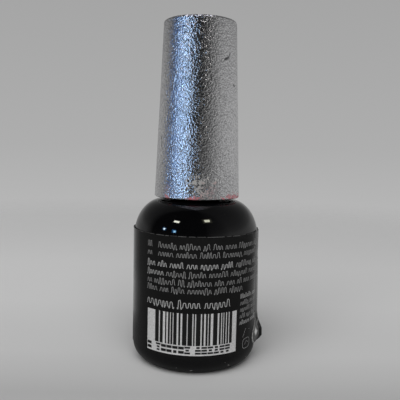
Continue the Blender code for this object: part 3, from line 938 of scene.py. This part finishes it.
def bar_panel():
    """A white panel with upright bars of chance widths, which stand for no code."""
    dice = Random(5)
    white = Print()
    white.block(PANEL_LEFT, PANEL_RIGHT, PANEL_BOTTOM, PANEL_TOP)
    white.make("panel_white", "white_ink", 0.74, 0.45)
    black = Print()
    here = BARS_LEFT
    while here < BARS_RIGHT - BAR_MODULE:
        width = BAR_MODULE * dice.choice((1.3, 1.8, 3, 4, 4))
        black.block(here, min(here + width, BARS_RIGHT), BARS_FOOT, PANEL_TOP, 2 * INK)
        here += width + BAR_MODULE * dice.choice((0.7, 0.9, 1.1, 1.5, 2.2))
    for start, count in FIGURES:
        for i in range(count):
            black.dashes(start + FIGURE_PITCH * i, FIGURE_LEVEL, *FIGURE_SIZE, dice, 2 * INK)
    black.make("panel_black", "black_ink", 0.010, 0.45)


def label_edge():
    """The label's cut upper edge: a thin pale line in short uneven runs."""
    dice = Random(21)
    edge_line = Print()
    top = LABEL_TOP - 0.02 * MM
    here = LABEL_START + 1
    while here < LABEL_END - 4:
        stop = min(here + dice.uniform(1.5, 8.0), LABEL_END - 0.5)
        thick = dice.uniform(0.05, 0.16) * MM
        edge_line.block(here, stop, top - thick, top, 0.8 * INK)
        here = stop + dice.uniform(0.1, 2.5)
    edge_line.make("label_edge_line", "pale_edge_ink", 0.11, 0.7)


# Cap ------------------------------------------------------------------------------------------


def cap_radius(level):
    part = (level - CAP_BOTTOM) / (CAP_TOP - CAP_BOTTOM)
    return CAP_BOTTOM_RADIUS + (CAP_TOP_RADIUS - CAP_BOTTOM_RADIUS) * part


def crinkle(point):
    """Height of the crown's crinkles at a place, in metres."""
    wide = noise.noise(point / CRINKLE_CELL)
    fine = noise.noise(point / (0.55 * CRINKLE_CELL) + Vector((3.7, 1.1, 9.2)))
    return CRINKLE_HEIGHT * (0.75 * wide + 0.25 * fine)


def crinkle_grid(rows, columns):
    """Heights of the side's crinkles on a grid that closes round the cap, in metres."""
    dice = np.random.default_rng(17)
    fields = []
    for _ in range(2):
        field = dice.normal(size=(rows, columns))
        for _ in range(GRAIN_SMOOTHING):
            for axis in (0, 1):
                field = (np.roll(field, 1, axis) + 3 * field + np.roll(field, -1, axis)) / 5
        fields.append(field / field.std())
    fine, sparse = fields
    spikes = np.sign(sparse) * np.maximum(0, np.abs(sparse) - SPIKE_FROM)
    return GRAIN_HEIGHT * fine + SPIKE_HEIGHT * spikes


# Marks on the skin, with angles as on the label and lengths in millimetres: scratches as two
# (degrees, level) ends and a half width, residue as (degrees, half width, height), and worn and
# stained patches as (degrees, level, radius).
SCRATCHES = (
    ((39.4, 72.85), (46.8, 73.45), 0.20),
    ((46.8, 73.45), (51.2, 74.6), 0.11),
    ((60, 67.4), (62.5, 67.1), 0.19),
    ((61, 60.6), (66, 60.0), 0.07),
    ((-62, 55), (-58, 52), 0.08),
)
SCRATCH_DEPTH = 0.06 * MM
SCRATCHED_RADIUS = 9.3
RESIDUE = ((-4, 9.5, 0.9), (62, 24, 1.2), (-41, 5, 1.0), (150, 20, 0.7), (-130, 14, 0.6))
STAINS = ((17, 42.6, 1.6), (-40, 42.0, 1.2))
WORN = (
    (4, 43.4, 1.5), (-3, 44.4, 1.2), (8, 45.0, 1.0),
    (18, 44.5, 1.1), (12, 42.0, 1.0), (170, 44.0, 2.2),
)


def skin_marks(points):
    """Masks for scratches, polish residue and worn metal at every point of the skin."""
    degrees = np.degrees(np.arctan2(points[:, 0], -points[:, 1]))
    level = points[:, 2] / MM
    around = np.radians(1) * cap_radius(points[:, 2]) / MM
    grain, fine = (
        np.array([noise.noise(Vector(p) / (cell * MM)) for p in points]) for cell in (0.8, 0.3)
    )

    def off_centre(centre):
        """Degrees from a centre, the short way round."""
        return (degrees - centre + 180) % 360 - 180

    scratch = np.zeros(len(points))
    for (a0, z0), (a1, z1), width in SCRATCHES:
        run = np.array([(a1 - a0) * np.radians(1) * SCRATCHED_RADIUS, z1 - z0])
        off = np.stack([(degrees - a0) * around, level - z0], axis=1)
        along = np.clip(off @ run / (run @ run), 0, 1)
        away = np.hypot(*(off - along[:, None] * run).T)
        scratch = np.maximum(scratch, np.clip(1.5 - away / width, 0, 1))
    residue = np.zeros(len(points))
    rim = level - CAP_BOTTOM / MM
    for centre, half, high in RESIDUE:
        off = np.abs(off_centre(centre)) / half
        cover = 1.1 - off ** 2 - (rim / high) ** 2 + 1.3 * grain + 1.5 * fine
        cover = np.clip(cover * 2.0, 0, 1) * (off < 1.6) * (rim < 2.5 * high)
        residue = np.maximum(residue, cover)
    worn = np.zeros(len(points))
    for centre, height, size in WORN:
        off = np.hypot(off_centre(centre) * around, level - height) / size
        bare = np.clip(0.9 - off + 1.9 * grain + 2.6 * fine, 0, 1)
        worn = np.maximum(worn, bare * (off < 1.8))
    for centre, height, size in STAINS:
        off = np.hypot(off_centre(centre) * around, level - height) / size
        stain = np.clip(0.35 - 0.6 * off + 1.2 * grain + 1.6 * fine, 0, 0.30)
        residue = np.maximum(residue, stain * (off < 1.8))
    return {"scratch": scratch, "residue": residue * 0.85, "worn": worn * 0.9}


def shell():
    """The overcap, with a skin crinkled in the mesh itself."""
    flat = CAP_TOP_RADIUS - CAP_TOP_ROUND
    top = [(0, CAP_TOP)] + straight((0, CAP_TOP), (flat, CAP_TOP), 14)
    top += arc((flat, CAP_TOP - CAP_TOP_ROUND), CAP_TOP_ROUND, pi / 2, 0, 6)
    low = CAP_BOTTOM + CAP_RIM_ROUND
    high = CAP_TOP - CAP_TOP_ROUND
    side = straight((CAP_TOP_RADIUS, high), (CAP_BOTTOM_RADIUS, low), SHELL_SIDE_RINGS)
    rim = arc((CAP_BOTTOM_RADIUS - CAP_RIM_ROUND, low), CAP_RIM_ROUND, 0, -pi / 2, 4)
    crown = CAP_TOP - SHELL_CROWN
    mouth = CAP_BOTTOM_RADIUS - SHELL_WALL
    stop = cap_radius(SHELL_STOP) - SHELL_WALL
    inside = [
        (mouth + RIM_BEVEL, CAP_BOTTOM),
        (mouth, CAP_BOTTOM + RIM_BEVEL),
        (stop, SHELL_STOP),
        (stop - SHELL_STOP_STEP, SHELL_STOP),
        (cap_radius(crown) - SHELL_WALL - SHELL_STOP_STEP, crown),
        (0, crown),
    ]
    profile = top + side + rim + inside
    rings = ring_points(profile[1:-1], SHELL_SEGMENTS)
    skin = len(top) - 1 + len(side) + len(rim)
    centre = Vector((0, 0, CAP_TOP - CROWN_SPREAD))
    heights = crinkle_grid(skin, SHELL_SEGMENTS)
    for number in range(skin):
        for column, point in enumerate(rings[number]):
            place = Vector(point)
            outward = Vector((place.x, place.y, 0)).normalized()
            if place.z >= CAP_TOP:
                outward = Vector((0, 0, 1))
            elif place.z > CAP_TOP - CAP_TOP_ROUND:
                outward = (place - centre).normalized()
            fade = clamp((place.z - CAP_BOTTOM) / CAP_RIM_ROUND)
            share = clamp((place.z - CAP_TOP) / CAP_TOP_ROUND + 2)
            height = share * crinkle(place) + (1 - share) * heights[number, column]
            point[:] = place + outward * (height - 0.5 * CRINKLE_HEIGHT) * fade
    mesh = tube_mesh("crinkled_shell", rings, (0, 0, CAP_TOP), (0, 0, crown))
    coordinates = np.empty(len(mesh.vertices) * 3)
    mesh.vertices.foreach_get("co", coordinates)
    points = coordinates.reshape(-1, 3)
    outside = np.zeros(len(points), bool)
    outside[:skin * SHELL_SEGMENTS] = True
    marks = skin_marks(points)
    for name, values in marks.items():
        store(mesh, name, values * outside)
    outward = points[:, :2] / np.maximum(np.hypot(points[:, 0], points[:, 1])[:, None], MM)
    points[:, :2] -= outward * (marks["scratch"] * outside * SCRATCH_DEPTH)[:, None]
    mesh.vertices.foreach_set("co", points.ravel())
    silver = crinkled_silver()
    return piece("crinkled_shell", mesh, silver, "cap", ["overcap"], radians(70))


# Inside the cap and the bottle ----------------------------------------------------------------

BEVEL = 0.12 * MM
PRESS_GAP = 0.3 * MM

BOSS_RADIUS = 4.0 * MM
SPIGOT_HOLE = 2.05 * MM
INNER_CAP_BORE = 6.95 * MM
INNER_CAP_PLATE = 1.3 * MM
INNER_CAP_PLATE_TOP = 55.6 * MM
INNER_CAP_HOLE_TOP = 59.5 * MM
BOSS_FILLET = 0.3 * MM
RIB_STOP = 0.3 * MM
RIB_COUNT = 12
RIB_HEIGHT = 0.35 * MM
RIB_WIDTH = 0.8 * MM
RIB_EDGE = 0.15 * MM

SPIGOT_RADIUS = 1.75 * MM
SPIGOT_LENGTH = 5.2 * MM
SPIGOT_BEVEL = 0.2 * MM
COLLAR_THICKNESS = 0.8 * MM
COLLAR_ROUND = 0.2 * MM
BARREL_RADIUS = 2.4 * MM
BARREL_FILLET = 0.4 * MM
BARREL_BOTTOM = 41.0 * MM
BARREL_TAPER = 2.0 * MM
STEM_TOP_RADIUS = 1.8 * MM
STEM_TIP_RADIUS = 1.6 * MM
STEM_TIP_ROUND = 0.25 * MM
SOCKET_RADIUS = 1.1 * MM
SOCKET_DEPTH = 3.6 * MM
SOCKET_BEVEL = 0.08 * MM

WASHER_HOLE = 3.4 * MM
LINER_HOLE = 2.9 * MM
LINER_GROOVE = 0.12 * MM
SEAL_BEVEL = 0.06 * MM

GEL_GAP = 0.3 * MM
GEL_CREEP = 0.35 * MM
GEL_CREEP_WIDTH = 0.5 * MM
BRUSH_SHAFT_RADIUS = 3.3 * MM
BRUSH_SHAFT_FLOOR = 5.4 * MM
BALL_SHAFT_RADIUS = 2.6 * MM
SHAFT_OVERRUN = 1 * MM


def inner_cap():
    """Threaded plastic cap with upright ribs outside and a boss that holds the brush."""
    top, low = INNER_CAP_PLATE_TOP, INNER_CAP_BOTTOM
    plate = top - INNER_CAP_PLATE

    def skirt(level):
        return cap_radius(level) - SHELL_WALL - PRESS_GAP - RIB_HEIGHT

    boss = [(0, INNER_CAP_TOP), (BOSS_RADIUS - BEVEL, INNER_CAP_TOP)]
    boss += [(BOSS_RADIUS, INNER_CAP_TOP - BEVEL), (BOSS_RADIUS, top + BOSS_FILLET)]
    boss.append((BOSS_RADIUS + BOSS_FILLET, top))
    top_edge = (skirt(top), top - BEVEL)
    bottom_edge = (skirt(low), low + BEVEL)
    side = [(skirt(top) - BEVEL, top), top_edge]
    side += straight(top_edge, bottom_edge, 60)
    side += [bottom_edge, (bottom_edge[0] - BEVEL, low)]
    bore_bottom = (INNER_CAP_BORE, low + BEVEL)
    bore = [(INNER_CAP_BORE + BEVEL, low), bore_bottom]
    bore += straight(bore_bottom, (INNER_CAP_BORE, plate), THREAD_RINGS)
    socket = [(INNER_CAP_BORE, plate), (SPIGOT_HOLE + BEVEL, plate), (SPIGOT_HOLE, plate + BEVEL)]
    socket += [(SPIGOT_HOLE, INNER_CAP_HOLE_TOP), (0, INNER_CAP_HOLE_TOP)]
    profile = boss + side + bore + socket
    rings = ring_points(profile[1:-1], 192)
    angles = np.arctan2(rings[0, :, 1], rings[0, :, 0])
    pitch = 2 * pi / RIB_COUNT
    off_rib = np.abs((angles + 2 * pi) % pitch - pitch / 2)
    for number in range(len(boss) - 1, len(boss) + len(side) - 1):
        radius, level = profile[number + 1]
        if low + RIB_STOP < level < top - RIB_STOP:
            share = np.clip((RIB_WIDTH / 2 - off_rib * radius) / RIB_EDGE + 0.5, 0, 1)
            rings[number, :, :2] *= (1 + share * RIB_HEIGHT / radius)[:, None]
    first = len(boss) + len(side) - 1
    threaded = rings[first:first + len(bore)]
    raise_thread(threaded, CAP_THREAD_CREST + THREAD_ROUND, THREAD_BOTTOM + THREAD_PITCH / 2, True)
    mesh = tube_mesh("inner_screw_cap", rings, (0, 0, INNER_CAP_TOP), (0, 0, INNER_CAP_HOLE_TOP))
    material = moulded("black_polypropylene", (0.016, 0.016, 0.018), 0.38)
    piece("inner_screw_cap", mesh, material, "cap", ["inner_cap"])


def stem():
    """Moulded stem: spigot, collar, barrel and a long taper with a socket in its tip."""
    collar_top = SPIGOT_TOP - SPIGOT_LENGTH
    collar = collar_top - COLLAR_THICKNESS
    rim = COLLAR_RADIUS - COLLAR_ROUND
    socket_end = STEM_TIP + SOCKET_DEPTH
    profile = [(0, SPIGOT_TOP), (SPIGOT_RADIUS - SPIGOT_BEVEL, SPIGOT_TOP)]
    profile += [(SPIGOT_RADIUS, SPIGOT_TOP - SPIGOT_BEVEL), (SPIGOT_RADIUS, collar_top + BEVEL)]
    profile.append((SPIGOT_RADIUS + BEVEL, collar_top))
    profile += arc((rim, collar_top - COLLAR_ROUND), COLLAR_ROUND, pi / 2, 0, 4)
    profile += arc((rim, collar + COLLAR_ROUND), COLLAR_ROUND, 0, -pi / 2, 4)
    fillet = (BARREL_RADIUS + BARREL_FILLET, collar - BARREL_FILLET)
    profile += arc(fillet, BARREL_FILLET, pi / 2, pi, 5)
    shoulder = BARREL_BOTTOM + BARREL_TAPER
    profile += [(BARREL_RADIUS, shoulder + above * MM) for above in (9.0, 6.0, 3.0)]
    for fall in even(0, 1, 10):
        narrower = (BARREL_RADIUS - STEM_TOP_RADIUS) * (3 * fall * fall - 2 * fall ** 3)
        profile.append((BARREL_RADIUS - narrower, shoulder - BARREL_TAPER * fall))
    tip = (STEM_TIP_RADIUS, STEM_TIP + 0.3 * MM)
    profile += straight((STEM_TOP_RADIUS, BARREL_BOTTOM), tip, 10)
    centre = (STEM_TIP_RADIUS - STEM_TIP_ROUND, STEM_TIP + STEM_TIP_ROUND)
    profile += arc(centre, STEM_TIP_ROUND, 0, -pi / 2, 4)
    profile += [(SOCKET_RADIUS + SOCKET_BEVEL, STEM_TIP), (SOCKET_RADIUS, STEM_TIP + SOCKET_BEVEL)]
    profile += [(SOCKET_RADIUS, socket_end), (0, socket_end)]
    mesh = turned("stem", profile, 96)
    material = moulded("stem_plastic", (0.050, 0.050, 0.056), 0.22)
    piece("stem", mesh, material, "cap", ["brush_stem"])


def seal(name, material, body, node, hole, groove):
    """A flat ring that seals on the lip, with the lip's groove pressed in its underside."""
    outer, low, high = reach(node)
    middle = (BORE_RADIUS + NECK_RADIUS) / 2
    half = (NECK_RADIUS - BORE_RADIUS) / 2
    profile = [(hole, high - SEAL_BEVEL), (hole + SEAL_BEVEL, high)]
    profile += [(outer - SEAL_BEVEL, high), (outer, high - SEAL_BEVEL), (outer, low + SEAL_BEVEL)]
    for radius in even(outer - SEAL_BEVEL, hole + SEAL_BEVEL, 24):
        press = max(0.0, 1 - ((radius - middle) / half) ** 4)
        profile.append((radius, low + groove * press))
    profile.append((hole, low + SEAL_BEVEL))
    piece(name, turned(name, profile, 128, looped=True), material, body, [node])


def seals():
    """The thin washer that stays on the lip, and the foam liner under the brush's collar."""
    film = moulded("white_film", (0.78, 0.78, 0.76), 0.42)
    seal("washer_ring", film, "washer", "lip_washer", WASHER_HOLE, 0.0)
    foam = moulded("foam", (0.82, 0.82, 0.80), 0.85)
    seal("liner_ring", foam, "liner", "cap_liner", LINER_HOLE, LINER_GROOVE)


def balls():
    """Two polished steel mixing balls."""
    steel = polished_steel()
    for number in (1, 2):
        node = f"agitator_ball_{number}"
        low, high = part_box(node)
        radius = (high.z - low.z) / 2
        profile = [(0, radius)] + arc((0, 0), radius, pi / 2, -pi / 2, 32)[1:-1] + [(0, -radius)]
        mesh = turned(f"steel_ball_{number}", profile, 64)
        mesh.transform(Matrix.Translation((low + high) / 2))
        piece(f"steel_ball_{number}", mesh, steel, f"ball_{number}", [node])


def gel():
    """The polish, wetting the glass, with open shafts round the brush and above the balls."""
    radius, low, level = reach("gel_polish")
    corner = CAVITY_CORNER - GEL_GAP
    profile = [(0.0, level - GEL_CREEP)]
    for r in even(0, radius, 40)[1:]:
        rise = GEL_CREEP * np.exp((r - radius) / GEL_CREEP_WIDTH)
        profile.append((r, level - GEL_CREEP + rise))
    profile += arc((radius - corner, low + corner), corner, 0, -pi / 2, 10)
    profile.append((0, low))
    mesh = turned("gel_body", profile, 128)
    faces_outwards(mesh)
    body = placed("gel_body", mesh)
    shafts = [(Vector((0, 0, 0)), BRUSH_SHAFT_RADIUS, BRUSH_SHAFT_FLOOR)]
    for number in (1, 2):
        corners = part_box(f"agitator_ball_{number}")
        middle = (corners[0] + corners[1]) / 2
        shafts.append((middle, BALL_SHAFT_RADIUS, CAVITY_FLOOR - SHAFT_OVERRUN))
    cutters = []
    above = level + SHAFT_OVERRUN
    for place, wide, bottom in shafts:
        mesh = turned("shaft", [(0, above), (wide, above), (wide, bottom), (0, bottom)], 64)
        mesh.transform(Matrix.Translation((place.x, place.y, 0)))
        faces_outwards(mesh)
        cut = body.modifiers.new("shaft", "BOOLEAN")
        cut.operation = "DIFFERENCE"
        cut.object = placed("shaft", mesh)
        cutters.append(cut.object)
    depsgraph = bpy.context.evaluated_depsgraph_get()
    mesh = bpy.data.meshes.new_from_object(body.evaluated_get(depsgraph))
    mesh.name = "gel_fill"
    for item in cutters + [body]:
        bpy.data.objects.remove(item, do_unlink=True)
    piece("gel_fill", mesh, wet_gel(), "bottle", ["gel_polish"])


def specks():
    """Specks of dust stuck on the heel of the glass."""
    dice = Random(8)
    shape = bmesh.new()
    places = [(-2, 42, 0.13), (34, 30, 0.15)]
    for _ in range(14):
        slope = (dice.uniform(-180, 180), dice.uniform(8, 60))
        places.append((*slope, dice.uniform(0.05, 0.10)))
    for degrees, slope, size in places:
        a, e = radians(degrees), radians(slope)
        radius = BODY_RADIUS - HEEL_RADIUS + HEEL_RADIUS * cos(e)
        centre = Vector((radius * sin(a), -radius * cos(a), HEEL_RADIUS * (1 - sin(e))))
        made = bmesh.ops.create_icosphere(shape, subdivisions=2, radius=size * MM)["verts"]
        bmesh.ops.scale(shape, verts=made, vec=(1.6, 1.0, 0.5))
        bmesh.ops.translate(shape, verts=made, vec=centre)
    material = moulded("dust", (0.30, 0.30, 0.29), 0.8)
    mesh = from_bmesh("dust_specks", shape)
    piece("dust_specks", mesh, material, "bottle")


TUFT_ROOT_RADIUS = 1.0 * MM
TUFT_HALF_WIDTH = 2.3 * MM
TUFT_HALF_THICKNESS = 0.80 * MM
BRISTLE_RADIUS = 0.075 * MM
BRISTLE_COUNT, BRISTLE_SIDES, BRISTLE_STEPS = 170, 6, 12

# The polish between the bristles: where it starts and how far it goes, as shares of the tuft's
# length, its number of rings and of points round a ring, and its share of the tuft's width.
LOAD_FROM, LOAD_LENGTH = 0.34, 0.60
LOAD_STEPS, LOAD_SIDES = 24, 48
LOAD_WIDTH = 0.90


def tuft_section(part):
    """Half width and half thickness of the tuft, from its root (0) to its tip (1)."""
    spread = clamp((part - 0.16) / 0.5)
    spread = spread * spread * (3 - 2 * spread)
    end = max(0.0, (part - 0.80) / 0.20)
    width = TUFT_ROOT_RADIUS + (TUFT_HALF_WIDTH - TUFT_ROOT_RADIUS) * spread
    thickness = TUFT_ROOT_RADIUS + (TUFT_HALF_THICKNESS - TUFT_ROOT_RADIUS) * spread
    return width * (1 - 0.45 * end * end), thickness * (1 - 0.70 * end * end)


def tuft():
    """Separate nylon filaments that fan out into a flat brush, with polish held between them."""
    dice = Random(3)
    count, sides, steps = BRISTLE_COUNT, BRISTLE_SIDES, BRISTLE_STEPS
    points, faces = [], []
    for i in range(count):
        share = sqrt((i + 0.5) / count) * 0.93
        turn = i * pi * (3 - sqrt(5))
        cut = 1.0 - 0.05 * dice.random() - 0.04 * share * share
        sway = dice.uniform(-0.03, 0.03)
        first = len(points)
        for step in range(steps + 1):
            part = cut * step / steps
            width, thickness = tuft_section(part)
            x = width * share * cos(turn + sway * part)
            y = thickness * share * sin(turn + sway * part)
            level = TUFT_ROOT + (TUFT_TIP - TUFT_ROOT) * part
            radius = BRISTLE_RADIUS * (1.0 if step < steps else 0.55)
            for k in range(sides):
                a = 2 * pi * k / sides
                points.append((x + radius * cos(a), y + radius * sin(a), level))
        for step in range(steps):
            for k in range(sides):
                after = (k + 1) % sides
                upper, lower = first + step * sides, first + (step + 1) * sides
                faces.append((upper + k, lower + k, lower + after, upper + after))
        faces.append(tuple(first + k for k in range(sides)))
        faces.append(tuple(first + steps * sides + k for k in reversed(range(sides))))
    mesh = new_mesh("bristle_filaments", points, faces)
    piece("bristle_filaments", mesh, bristles(), "cap", ["bristle_tuft"])
    loops = []
    turns = [2 * pi * k / LOAD_SIDES for k in range(LOAD_SIDES)]
    for step in range(LOAD_STEPS + 1):
        part = LOAD_FROM + LOAD_LENGTH * step / LOAD_STEPS
        width, thickness = tuft_section(part)
        full = LOAD_WIDTH * min(1.0, 0.25 + step / 5, 0.3 + (LOAD_STEPS - step) / 4)
        level = TUFT_ROOT + (TUFT_TIP - TUFT_ROOT) * part
        loops.append([(width * full * cos(a), thickness * full * sin(a), level) for a in turns])
    rings = np.array(loops)
    mesh = tube_mesh("brush_load", rings, (0, 0, rings[0, 0, 2]), (0, 0, rings[-1, 0, 2]))
    piece("brush_load", mesh, wet_gel(), "cap")


def staple():
    """The rounded wire strip that the bristles are folded over."""
    low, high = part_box("bristle_staple")
    shape = bmesh.new()
    bmesh.ops.create_cube(shape, size=1)
    bmesh.ops.scale(shape, verts=shape.verts, vec=high - low)
    bmesh.ops.translate(shape, verts=shape.verts, vec=(low + high) / 2)
    rounded = {"offset": 0.10 * MM, "segments": 3, "profile": 0.5, "affect": "EDGES"}
    bmesh.ops.bevel(shape, geom=shape.edges[:], **rounded)
    mesh = from_bmesh("staple_wire", shape)
    piece("staple_wire", mesh, polished_steel(), "cap", ["bristle_staple"])


def main():
    camera()
    room()
    floor()
    painted_shade_card()
    glass = bottle_glass()
    film()
    small_print()
    bar_panel()
    label_edge()
    lights(shell(), glass)
    inner_cap()
    stem()
    seals()
    balls()
    gel()
    tuft()
    staple()
    specks()
    bpy.context.scene.view_settings.view_transform = "Standard"


main()
